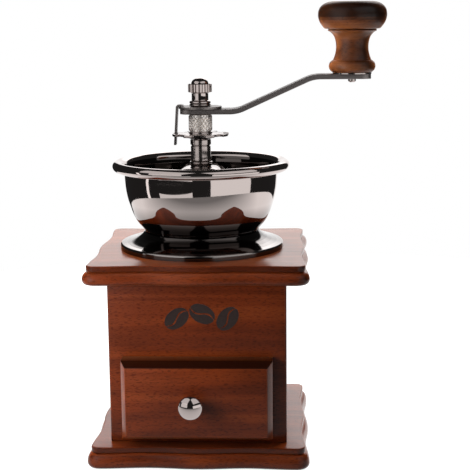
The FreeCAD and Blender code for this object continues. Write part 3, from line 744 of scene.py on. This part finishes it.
def board_section(thick):
    """Moulding from the underside up, as (inset, height) places: round nose, cove, undercut lip."""
    nose_top = thick - LIP_HEIGHT
    section = [(NOSE_ROUND * (1 - math.sin(turn)), NOSE_ROUND * (1 - math.cos(turn)))
               for turn in [math.pi / 2 * step / 8 for step in range(9)]]
    section += [(GROOVE_INSET * (1 - math.cos(turn)), NOSE_ROUND + (nose_top - NOSE_ROUND) * math.sin(turn))
                for turn in [math.pi / 2 * step / 10 for step in range(1, 11)]]
    belly = (LIP_INSET + LIP_ROUND, nose_top + LIP_ROUND * 1.5)
    section += arc(belly, LIP_ROUND, 250, 180, 5)
    section += arc((LIP_INSET + LIP_ROUND, thick - LIP_ROUND), LIP_ROUND, 180, 90, 5)
    return section


def moulded_board(name, node, throat=0.0, drills=()):
    """Board with a moulded wavy edge, a round throat through it or small holes drilled in it."""
    low, high = extent(node)
    thick = high.z - low.z
    loop = board_outline(high.x)
    section = board_section(thick)
    points = []
    for inset, height in section:
        for place, way in loop:
            at = place - way * inset
            points.append((at.x, at.y, low.z + height))
    around = len(loop)
    top_edge = (len(section) - 1) * around
    faces = []
    for level in range(len(section) - 1):
        faces += band(level * around, (level + 1) * around, around)
    if throat:
        low_hole = len(points)
        high_hole = low_hole + around
        for height in (low.z, high.z):
            for place, way in loop:
                at = place.normalized() * throat
                points.append((at.x, at.y, height))
        for one, other in ((top_edge, high_hole), (0, low_hole), (low_hole, high_hole)):
            faces += band(one, other, around)
    else:
        faces += [tuple(range(around)), tuple(range(top_edge, top_edge + around))]
    mesh = new_mesh(name, points, faces, BOARD_SHARP)
    if drills:
        mesh = drilled(mesh, drills, BOARD_SHARP)
    ledge = thick - LIP_HEIGHT
    # Painted light and shade by height: darker under the nose and on the lip, paler along the ledge at the top of the
    # nose.
    paint_light_and_shade_by_height(mesh, low.z, ((NOSE_ROUND * 0.6, 0.3), (ledge - 0.7, 0.0), (ledge + MERGE, -0.7),
                                  (thick - 0.35, 0.5), (thick + 1, 0.0)))
    dress(mesh, boards_wood, node)


def flat_board(name, node, material, **form):
    """Plain board in place of a CAD node of the same size."""
    low, high = extent(node)
    dress(slab(name, low, high, **form), material, node)


def base_screw_places():
    """Places of the four wood screws under the base, as (x, y)."""
    low, high = extent("base_screws")
    return [(x, y) for x in (low.x + SCREW_HEAD, high.x - SCREW_HEAD)
            for y in (low.y + SCREW_HEAD, high.y - SCREW_HEAD)]


def wooden_box():
    """Base drilled for its screws, top board, four panels and the drawer's runners."""
    past = 1.0
    above = extent("base_board")[1].z + past
    head, shank = SCREW_HEAD + SCREW_ROOM, SCREW_SHANK + SCREW_ROOM
    hole = [(0.0, -past), (head, -past), (head, SCREW_SINK), (shank, SCREW_SINK + SCREW_CONE), (shank, above),
            (0.0, above)]
    drills = [turned("screw_hole", hole, place, 48) for place in base_screw_places()]
    moulded_board("moulded_base", "base_board", drills=drills)
    moulded_board("moulded_top", "top_board", THROAT_HOLE)
    mouth = ((-OPENING_HALF, OPENING_HALF), (OPENING_FLOOR, OPENING_FLOOR + OPENING_HEIGHT))
    flat_board("front_board", "front_panel", boards_wood, round_upright=extent("front_panel")[0].y, opening=mouth,
               edge_tone=0.7)
    flat_board("back_board", "back_panel", boards_wood, round_upright=extent("back_panel")[1].y)
    for side in ("left", "right"):
        flat_board(side + "_board", side + "_side_panel", sides_wood)
        flat_board(side + "_rail", side + "_runner", drawer_wood)


def wooden_drawer():
    """Raised front whose eased edges are rubbed pale, with painted shade along its top, and a plain tray behind it."""
    flat_board("raised_drawer_face", "drawer_front", boards_wood, edge=0.3, front_bevel=FRONT_BEVEL, edge_tone=-0.8)
    for side in ("left", "right"):
        flat_board("drawer_" + side + "_board", "drawer_" + side + "_side", drawer_wood)
    flat_board("drawer_end_board", "drawer_back", bottom_wood)
    flat_board("drawer_floor", "drawer_bottom", bottom_wood)


def drawer_pull():
    """Mushroom knob on a short stem, turned lying along the drawer's travel."""
    low, high = extent("drawer_knob")
    stem, rim, rim_round, dome_round, rim_end = 2.7, (3.84, 8.28), 1.7, 7.3, 46.8
    top = high.y - low.y
    outline = [(0.0, 0.0), (stem + 0.2, 0.0), (stem + 0.2, 0.3), (stem, 0.6)]
    outline += curve([(stem, 4.6), (stem + 0.25, 5.5), (3.4, 6.25), (4.69, 6.81)], 6)[:-1]
    outline += arc(rim, rim_round, -60, rim_end, 16)
    outline += arc((0, top - dome_round), dome_round, rim_end, 90, 20)[1:]
    mesh = turned("mushroom_pull", outline, sides=96)
    middle = (low + high) / 2
    lay = Matrix.Translation(Vector((middle.x, high.y, middle.z)) * MM) @ Matrix.Rotation(math.pi / 2, 4, "X")
    mesh.transform(lay)
    dress(mesh, chrome, "drawer_knob")


def turned_handle():
    """Mushroom-shaped hand knob with painted light on its beads and painted shade on its crown."""
    low, high = extent("handle_knob")
    centre = ((low.x + high.x) / 2, 0.0)
    height = high.z - low.z
    crown = (high.x - low.x) / 2
    bore, recess, recess_depth = 2.55, 4.6, 4.5
    outline = [(bore, 0.0), (9.0, 0.0)]
    outline += curve([(9.3, 0.15), (10.4, 1.2), (10.9, 2.9), (10.4, 4.6), (9.4, 5.6)], 8)
    outline += [(9.0, 5.7), (8.85, 6.0)]
    outline += curve([(8.75, 6.2), (8.0, 8.4), (7.55, 11.5), (7.75, 14.2), (8.6, 16.8), (10.1, 18.5), (11.3, 19.2)], 8)
    outline += [(11.5, 19.45), (11.1, 19.75), (11.4, 20.0), (12.7, 20.15), (13.1, 20.4)]
    outline += curve([(13.6, 20.9), (15.2, 23.2), (crown, 26.7), (15.4, 29.5), (13.5, 31.5), (11.4, height - 0.3),
                      (9.4, height)], 10)
    outline += [(recess + 0.4, height), (recess, height - 0.4), (recess, height - recess_depth),
                (bore, height - recess_depth)]
    mesh = turned("turned_handle", raised(outline, low.z), centre, 128)
    # Painted light and shade by height: paler on the foot, waist and the crown's lower rim, darker in the groove under
    # the crown and darkest on its top.
    steps = ((4.2, -0.5), (15.5, -0.15), (19.5, -0.7), (20.05, 0.6), (21.6, -1.0), (22.8, -0.5), (24.0, 0.1),
             (25.5, 0.6), (99.0, 0.92))
    paint_light_and_shade_by_height(mesh, low.z, steps)
    dress(mesh, handle_wood, "handle_knob")


# Metal pieces

def spun_bowl():
    """Bowl of spun sheet with a rolled rim, with painted shade inside it and round its neck."""
    low, high = extent("hopper_bowl")
    floor, rim = low.z, high.x
    roll = (rim - RIM_ROLL, high.z - low.z - RIM_ROLL)
    wall = [(NECK_RADIUS, 1.0), (28.7, 2.4), (30.6, 4.6), (31.9, 6.6), (33.0, 9.0), (34.0, 11.9), (35.15, 15.5),
            (36.05, 20.0), (36.5, 25.0), (36.66, 28.2), (36.8, 29.4)]
    inner = [(roll[0], roll[1] + RIM_ROLL), (38.4, 33.4), (37.2, 32.5), (36.35, 31.0), (35.95, 29.2), (35.75, 27.2),
             (35.5, 25.0), (34.85, 20.2), (33.95, 15.9), (32.8, 12.3), (31.8, 9.6), (30.8, 7.5),
             (29.6, 5.7), (27.9, 3.6), (NECK_RADIUS - SHEET, SHEET)]
    outline = [(THROAT_RADIUS, 0.0), (NECK_RADIUS - 1.0, 0.0)]
    outline += curve([(NECK_RADIUS - 0.5, 0.12), (NECK_RADIUS - 0.12, 0.5)], 3)
    outline += curve(wall, 10)
    outline += [(37.3, 30.0)]
    outline += arc(roll, RIM_ROLL, -150, 90, 40)
    outline += curve(inner, 10)
    outline += [(THROAT_RADIUS + 0.3, SHEET), (THROAT_RADIUS, SHEET - 0.3)]
    mesh = turned("spun_bowl", raised(outline, floor), sides=192)
    # Painted shade: the inside below the rim roll is darkened, and the outside darkens towards the neck.
    film, unshaded_above, neck_unshaded, neck_fade = 0.85, 31.5, 14.0, 9.0
    painted_shade = []
    for corner in mesh.vertices:
        height = corner.co.z / MM - floor
        inward = corner.normal.x * corner.co.x + corner.normal.y * corner.co.y < 0
        on_neck = min(1.0, max(0.0, (neck_unshaded - height) / neck_fade))
        painted_shade.append(film if inward and height < unshaded_above else film * on_neck)
    mesh.attributes.new("edge_tone", "FLOAT", "POINT").data.foreach_set("value", painted_shade)
    dress(mesh, bowl_chrome, "hopper_bowl")


def pressed_flange():
    """Foot of the bowl on the top board, with painted shade darkest at its edge and up its neck."""
    low, high = extent("flange_ring")
    edge = high.x
    top = high.z - low.z
    ease, edge_top = 1.0, 2.8
    outline = [(edge, 0.0), (edge, edge_top - ease)]
    outline += arc((edge - ease, edge_top - ease), ease, 0, 86, 10)
    outline += curve([(36.4, 3.1), (34.0, 3.75), (31.8, 4.6), (30.0, 5.6), (28.7, 6.7), (27.9, 7.65),
                      (27.62, 8.05)], 10)
    outline += [(NECK_RADIUS, top), (NECK_RADIUS - SHEET, top), (NECK_RADIUS - SHEET, 6.9)]
    outline += curve([(27.4, 5.6), (29.6, 4.1), (34.0, 2.4), (edge - SHEET, 1.6)], 8)
    outline += [(edge - SHEET, 0.0)]
    mesh = turned("pressed_flange", raised(outline, low.z), sides=192)
    # Painted shade by height: darkest where the edge meets the board and up the neck under the bowl.
    paint_light_and_shade_by_height(mesh, low.z, ((1.9, 0.8), (3.2, 0.1), (3.9, 0.3), (4.8, 0.45), (6.0, 0.65), (99.0, 0.8)))
    dress(mesh, dull_chrome, "flange_ring")


def bearing_parts():
    """Bent bridge in the bowl, the sleeve that it carries and the ring on that."""
    low, high = extent("bearing_bridge")
    thick, bend, width = 2.5, 4.75, 23.4
    leg = (width - thick) / 2
    foot, beam = low.z + thick / 2, high.z - thick / 2
    left = [(low.x, foot), (-leg, foot), (-leg, beam)]
    route = bent_route(left + [(-x, z) for x, z in reversed(left)], bend)
    dress(strip("bent_bridge", route, high.y - low.y, thick, STEEL_EDGE, end_round=3.0), chrome,
          "bearing_bridge")

    low, high = extent("bearing_sleeve")
    top = high.z - low.z
    radius, bore = high.x, SHAFT_BORE
    outline = [(bore, 0.0), (radius, 0.0), (radius, 16.8), (radius - 0.2, 17.0), (radius - 0.2, 18.0),
               (radius - 0.05, 18.2), (radius - 0.05, 20.5), (radius - 0.2, 20.8), (radius - 0.2, 25.3),
               (radius - 0.55, 25.5), (radius - 0.55, 25.8), (radius - 0.2, 26.0), (radius, 26.2),
               (radius, top - 0.4), (radius - 0.4, top), (bore, top)]
    dress(turned("grooved_sleeve", raised(outline, low.z), sides=96), nickel, "bearing_sleeve")
    low, high = extent("sleeve_ring")
    section = arc((high.x - 0.5, 0.5), 0.5, -90, 90, 10) + [(4.7, 1.0), (4.7, 0.0)]
    dress(turned("snap_ring", raised(section, low.z), sides=96), nickel, "sleeve_ring")


def adjuster_parts():
    """Knurled nut, notched disc and the clip that locks them."""
    low, high = extent("adjusting_nut")
    depth, columns, rows, flat = 0.4, 21, 5, 0.3
    core = high.x - depth
    tall = high.z - low.z
    width = 2 * math.pi * core / columns
    height = 2 * (tall - 2 * flat) / (rows + 1)
    outline = [(SHAFT_BORE, 0.0), (core - flat, 0.0), (core, flat), (core, tall - flat), (core - flat, tall),
               (SHAFT_BORE, tall)]
    start = turned("nut_core", raised(outline, low.z), sides=84)
    sizes = {"Radius": core * MM, "Width": width * MM, "Height": height * MM, "Depth": depth * MM,
             "Low": (low.z + flat + height / 2) * MM, "Columns": columns, "Rows": rows, "Finish": knurled_nickel}
    dress(grown("knurled_nut", diamond_knurl_tree(), start, sizes), knurled_nickel, "adjusting_nut")
    cad_copy("adjusting_disc", nickel, 0.25)
    cad_copy("lock_clip", clip_steel, 0.2)


def crank_parts():
    """Bent arm with its cap nut, washer and the pin of the hand knob."""
    low, high = extent("crank_arm")
    thick, rise_angle, bend, bend_start = 2.4, 24.1, 16.0, 17.6
    near, far = low.z + thick / 2, high.z - thick / 2
    run = (far - near) / math.tan(math.radians(rise_angle))
    corners = [(low.x, near), (bend_start, near), (bend_start + run, far), (high.x, far)]
    route = bent_route(corners, bend, 12)
    dress(strip("bent_arm", route, high.y - low.y, thick, STEEL_EDGE, end_round=4.5), arm_steel, "crank_arm")

    low, high = extent("cap_nut")
    top, knurl_low, knurl_high = high.z - low.z, 5.2, 9.4
    neck, ridge, columns = 4.0, 0.3, 30
    core = high.x - ridge
    dome_radius, dome_rise = 4.1, top - knurl_high
    outline = [(0.0, 0.0), (4.7, 0.0)]
    outline += curve([(4.9, 0.1), (5.1, 0.5), (5.0, 0.95), (4.6, 1.35), (neck + 0.1, 1.6), (neck, 1.9)], 4)
    outline += [(neck, knurl_low - 0.3), (neck + 0.3, knurl_low), (core - 0.3, knurl_low), (core, knurl_low + 0.3),
                (core, knurl_high - 0.3), (core - 0.3, knurl_high), (dome_radius + 0.05, knurl_high)]
    outline += [(radius, knurl_high + height * dome_rise / dome_radius)
                for radius, height in arc((0, 0), dome_radius, 0, 90, 16)]
    start = turned("cap_core", raised(outline, low.z), sides=96)
    sizes = {"Radius": core * MM, "Width": 2 * ridge * MM, "Height": (knurl_high - knurl_low - 0.5) * MM,
             "Middle": (low.z + (knurl_low + knurl_high) / 2) * MM, "Columns": columns, "Finish": chrome}
    dress(grown("knurled_cap", straight_knurl_tree(), start, sizes), chrome, "cap_nut")
    low, high = extent("spring_washer")
    edge, thick = high.x, high.z - low.z
    outline = [(3.2, 0.0)] + curve([(edge - 0.6, 0.0), (edge - 0.12, 0.2), (edge, 0.55), (edge - 0.12, 0.9),
                                    (edge - 0.5, thick)], 4) + [(3.2, thick)]
    dress(turned("rounded_washer", raised(outline, low.z), sides=96), nickel, "spring_washer")
    for node in ("knob_pin", "knob_washer"):
        cad_copy(node, nickel)


def inner_parts():
    """Shaft, burrs and spring inside the box."""
    for node in ("drive_shaft", "spring_seat", "burr_nut"):
        cad_copy(node, nickel)
    for node in ("outer_burr", "inner_burr"):
        cad_copy(node, cast_iron)
    cad_copy("drawer_knob_screw", screw_zinc)
    low, high = extent("burr_spring")
    wire, turns, room = 0.45, 6.0, 0.36
    sizes = {"Radius": (high.x - wire) * MM, "Wire": wire * MM, "Turns": turns, "Low": (low.z + wire + room) * MM,
             "Height": (high.z - low.z - 2 * wire - room) * MM, "Finish": spring_wire_steel}
    start = bpy.data.meshes.new("coil_start")
    mesh = settle(grown("coil_spring", coil_tree(), start, sizes))
    dress(mesh, spring_wire_steel, "burr_spring")


def fasteners(name, one, places, material, node):
    """Sets a copy of one fastener at every place."""
    pattern = bpy.data.objects.new(name + "_pattern", one)
    bpy.context.scene.collection.objects.link(pattern)
    start = bpy.data.meshes.new(name + "_places")
    start.from_pydata([Vector(place) * MM for place in places], [], [])
    mesh = grown(name, fasteners_tree(), start, {"Fastener": pattern, "Finish": material})
    bpy.data.objects.remove(pattern)
    dress(mesh, material, node)


def screws_and_rivets():
    """Wood screws of the base, machine screws of the burr and rivets of the bridge."""
    low, high = extent("base_screws")
    head, shank, tall = SCREW_HEAD, SCREW_SHANK, high.z - low.z
    outline = [(0.0, 0.0), (head - 0.2, 0.0), (head, 0.15), (head, 0.3), (shank, SCREW_CONE), (shank, tall - 3.0),
               (0.0, tall)]
    screw = cross_recess(turned("wood_screw", outline, sides=48), level=0.02, up=-1, width=0.8, reach=1.8, depth=0.9)
    places = [(*place, low.z) for place in base_screw_places()]
    fasteners("base_wood_screws", screw, places, screw_zinc, "base_screws")

    low, high = extent("clamp_screws")
    head, rise, shank, circle, turns = 2.8, 1.7, 1.5, 21.0, (90, 240, 300)
    under = high.z - low.z - rise
    outline = [(0.0, 0.0), (shank - 0.3, 0.0), (shank, 0.3), (shank, under), (head - 0.15, under), (head, under + 0.15)]
    outline += [(radius, under + height * rise / head) for radius, height in arc((0, 0), head, 8, 90, 12)]
    screw = cross_recess(turned("machine_screw", outline, sides=48), level=under + 0.3, up=1, width=0.7, reach=1.7,
                         depth=0.8)
    places = [(circle * math.cos(math.radians(turn)), circle * math.sin(math.radians(turn)), low.z) for turn in turns]
    fasteners("clamping_screws", screw, places, screw_zinc, "clamp_screws")

    low, high = extent("bridge_rivets")
    head, rise, shank, tail, tail_height = 3.3, 1.8, 1.8, 2.9, 1.0
    under = high.z - low.z - rise
    outline = [(0.0, 0.0), (tail - 0.3, 0.0), (tail, 0.3), (tail, tail_height), (shank, tail_height), (shank, under),
               (head - 0.1, under)]
    outline += [(radius, under + height * rise / head) for radius, height in arc((0, 0), head, 4, 90, 14)]
    places = [(x, 0.0, low.z) for x in (low.x + head, high.x - head)]
    fasteners("bridge_round_rivets", turned("round_rivet", outline, sides=48), places, screw_zinc, "bridge_rivets")


def burnt_beans():
    """Three coffee beans burnt into the front panel, each in two halves along an S-shaped slit."""
    low, high = extent("front_panel")
    middle, height, sunk, proud = 2.4, 69.7, 0.05, 0.06
    half_long, half_wide, slit, slit_end, slit_share, swing, steps = 6.2, 4.3, 0.55, 0.05, 0.96, 1.1, 24
    points, faces = [], []
    for across, rise, tilt in ((-11.6, -0.8, 38), (0.0, 1.4, -28), (11.6, -0.8, 52)):
        turn = Matrix.Rotation(math.radians(tilt), 2)
        for side in (1, -1):
            ring = []
            for step in range(steps + 1):
                along = 2 * step / steps - 1
                gap = slit / 2 * (1 - along ** 4) + slit_end
                ring.append((half_long * slit_share * along, side * gap + swing * math.sin(math.pi * along)))
            for step in range(1, steps):
                swept = math.pi * step / steps
                ring.append((half_long * math.cos(swept), side * half_wide * math.sin(swept)))
            start = len(points)
            for depth in (low.y - proud, low.y + sunk):
                for place in ring:
                    at = turn @ Vector(place)
                    points.append((middle + across + at.x, depth, height + rise + at.y))
            count = len(ring)
            faces += [tuple(range(start, start + count)), tuple(range(start + count, start + 2 * count))]
            faces += band(start, start + count, count)
    show(new_mesh("burnt_beans", points, faces), burnt, "case")


# Studio

def set_camera():
    """Camera at the photograph's viewing angle."""
    scene = bpy.context.scene
    camera = bpy.data.objects.new("camera", bpy.data.cameras.new("camera"))
    scene.collection.objects.link(camera)
    camera.data.sensor_width = CAMERA_SENSOR
    camera.data.lens = CAMERA_LENS
    camera.data.clip_start = CAMERA_CLIP * MM
    place = Vector(CAMERA_PLACE) * MM
    look = (Vector(CAMERA_AIM) * MM - place).to_track_quat("-Z", "Y").to_matrix().to_4x4()
    camera.matrix_world = Matrix.Translation(place) @ look @ Matrix.Rotation(CAMERA_ROLL, 4, "Z")
    scene.camera = camera
    scene.view_settings.view_transform = "Standard"


def light_room():
    """Dark room with a white backdrop; the camera itself sees plain white."""
    world = bpy.data.worlds.new("studio")
    bpy.context.scene.world = world
    world.use_nodes = True
    tree = world.node_tree
    tree.nodes.clear()
    way = add(tree, "ShaderNodeTexCoord").outputs["Generated"]
    parts = add(tree, "ShaderNodeSeparateXYZ", {"Vector": way}).outputs
    turn = add(tree, "ShaderNodeMath", {0: parts["X"], 1: parts["Y"]}, operation="ARCTAN2").outputs[0]
    backdrop = add(tree, "ShaderNodeMapRange", {"Value": parts["Z"], "From Min": BACKDROP_RISE[0],
                                                "From Max": BACKDROP_RISE[1], "To Min": BACKDROP_GLOW[0],
                                                "To Max": BACKDROP_GLOW[1]}).outputs["Result"]
    for source, dark, white in ((turn, -BACKDROP_LEFT - BACKDROP_FADE, -BACKDROP_LEFT),
                                (turn, BACKDROP_RIGHT + BACKDROP_FADE, BACKDROP_RIGHT),
                                (parts["Z"], BACKDROP_TOP + BACKDROP_FADE, BACKDROP_TOP)):
        edge = add(tree, "ShaderNodeMapRange", {"Value": source, "From Min": dark, "From Max": white},
                   interpolation_type="SMOOTHSTEP").outputs["Result"]
        backdrop = add(tree, "ShaderNodeMath", {0: backdrop, 1: edge}, operation="MULTIPLY").outputs[0]
    room = add(tree, "ShaderNodeMath", {0: backdrop, 1: ROOM_LEVEL}, operation="MAXIMUM").outputs[0]
    seen = add(tree, "ShaderNodeLightPath").outputs["Is Camera Ray"]
    level = add(tree, "ShaderNodeMix", {0: seen, 2: room, 3: 1.0}, data_type="FLOAT").outputs[0]
    light = add(tree, "ShaderNodeBackground", {"Color": level, "Strength": 1.0})
    add(tree, "ShaderNodeOutputWorld", {"Surface": light.outputs[0]})


def hang_lights(lights, mirrored):
    """Area lamps that either light rough surfaces or are mirrored in shiny ones."""
    for name, stand, aim, width, height, power in lights:
        lamp = bpy.data.lights.new(name, "AREA")
        lamp.shape = "RECTANGLE"
        lamp.size = width * MM
        lamp.size_y = height * MM
        lamp.energy = power
        box = bpy.data.objects.new(name, lamp)
        bpy.context.scene.collection.objects.link(box)
        stand, aim = Vector(stand) * MM, Vector(aim) * MM
        box.matrix_world = Matrix.Translation(stand) @ (aim - stand).to_track_quat("-Z", "Y").to_matrix().to_4x4()
        box.visible_camera = False
        box.visible_glossy = mirrored
        box.visible_diffuse = not mirrored


def lay_table():
    """Round white sheet: the camera sees it glow with the object's shadow on it; metal mirrors a painted reflection of
    it, a glow darker in front than behind.
    """
    mesh = bpy.data.meshes.new("table")
    edge = [Vector((*place, 0.0)) * MM for place in arc(TABLE_CENTRE, TABLE_RADIUS, 0, 360, 128)[:-1]]
    mesh.from_pydata(edge, [], [tuple(range(len(edge)))])
    table = bpy.data.objects.new("table", mesh)
    bpy.context.scene.collection.objects.link(table)
    paper = bpy.data.materials.new("white paper sheet")
    paper.use_nodes = True
    tree = paper.node_tree
    tree.nodes.clear()
    place = add(tree, "ShaderNodeTexCoord").outputs["Object"]
    distance = add(tree, "ShaderNodeVectorMath", {0: place}, operation="LENGTH").outputs["Value"]
    depth = add(tree, "ShaderNodeSeparateXYZ", {"Vector": place}).outputs["Y"]
    glows = []
    for source, reach, levels in ((distance, TABLE_NEAR_TO_FAR, TABLE_LEVEL),
                                  (depth, TABLE_FRONT_TO_BACK, TABLE_IN_METAL)):
        level = add(tree, "ShaderNodeMapRange", {"Value": source, "From Min": reach[0] * MM, "From Max": reach[1] * MM,
                                                 "To Min": levels[0], "To Max": levels[1]}).outputs["Result"]
        glows.append(add(tree, "ShaderNodeEmission", {"Color": grey(1.0), "Strength": level}).outputs[0])
    plain = add(tree, "ShaderNodeBsdfDiffuse", {"Color": grey(TABLE_BOUNCE)})
    shadow = add(tree, "ShaderNodeBsdfDiffuse", {"Color": grey(TABLE_SHADOW)})
    seen = add(tree, "ShaderNodeAddShader", {0: glows[0], 1: shadow.outputs[0]})
    ray = add(tree, "ShaderNodeLightPath").outputs
    in_metal = add(tree, "ShaderNodeMixShader", {0: ray["Is Glossy Ray"], 1: plain.outputs[0], 2: glows[1]})
    look = add(tree, "ShaderNodeMixShader", {0: ray["Is Camera Ray"], 1: in_metal.outputs[0], 2: seen.outputs[0]})
    add(tree, "ShaderNodeOutputMaterial", {"Surface": look.outputs[0]})
    mesh.materials.append(paper)


wooden_box()
wooden_drawer()
drawer_pull()
turned_handle()
spun_bowl()
pressed_flange()
bearing_parts()
adjuster_parts()
crank_parts()
inner_parts()
screws_and_rivets()
burnt_beans()
set_camera()
light_room()
hang_lights(LAMPS, mirrored=False)
hang_lights(CARDS, mirrored=True)
lay_table()
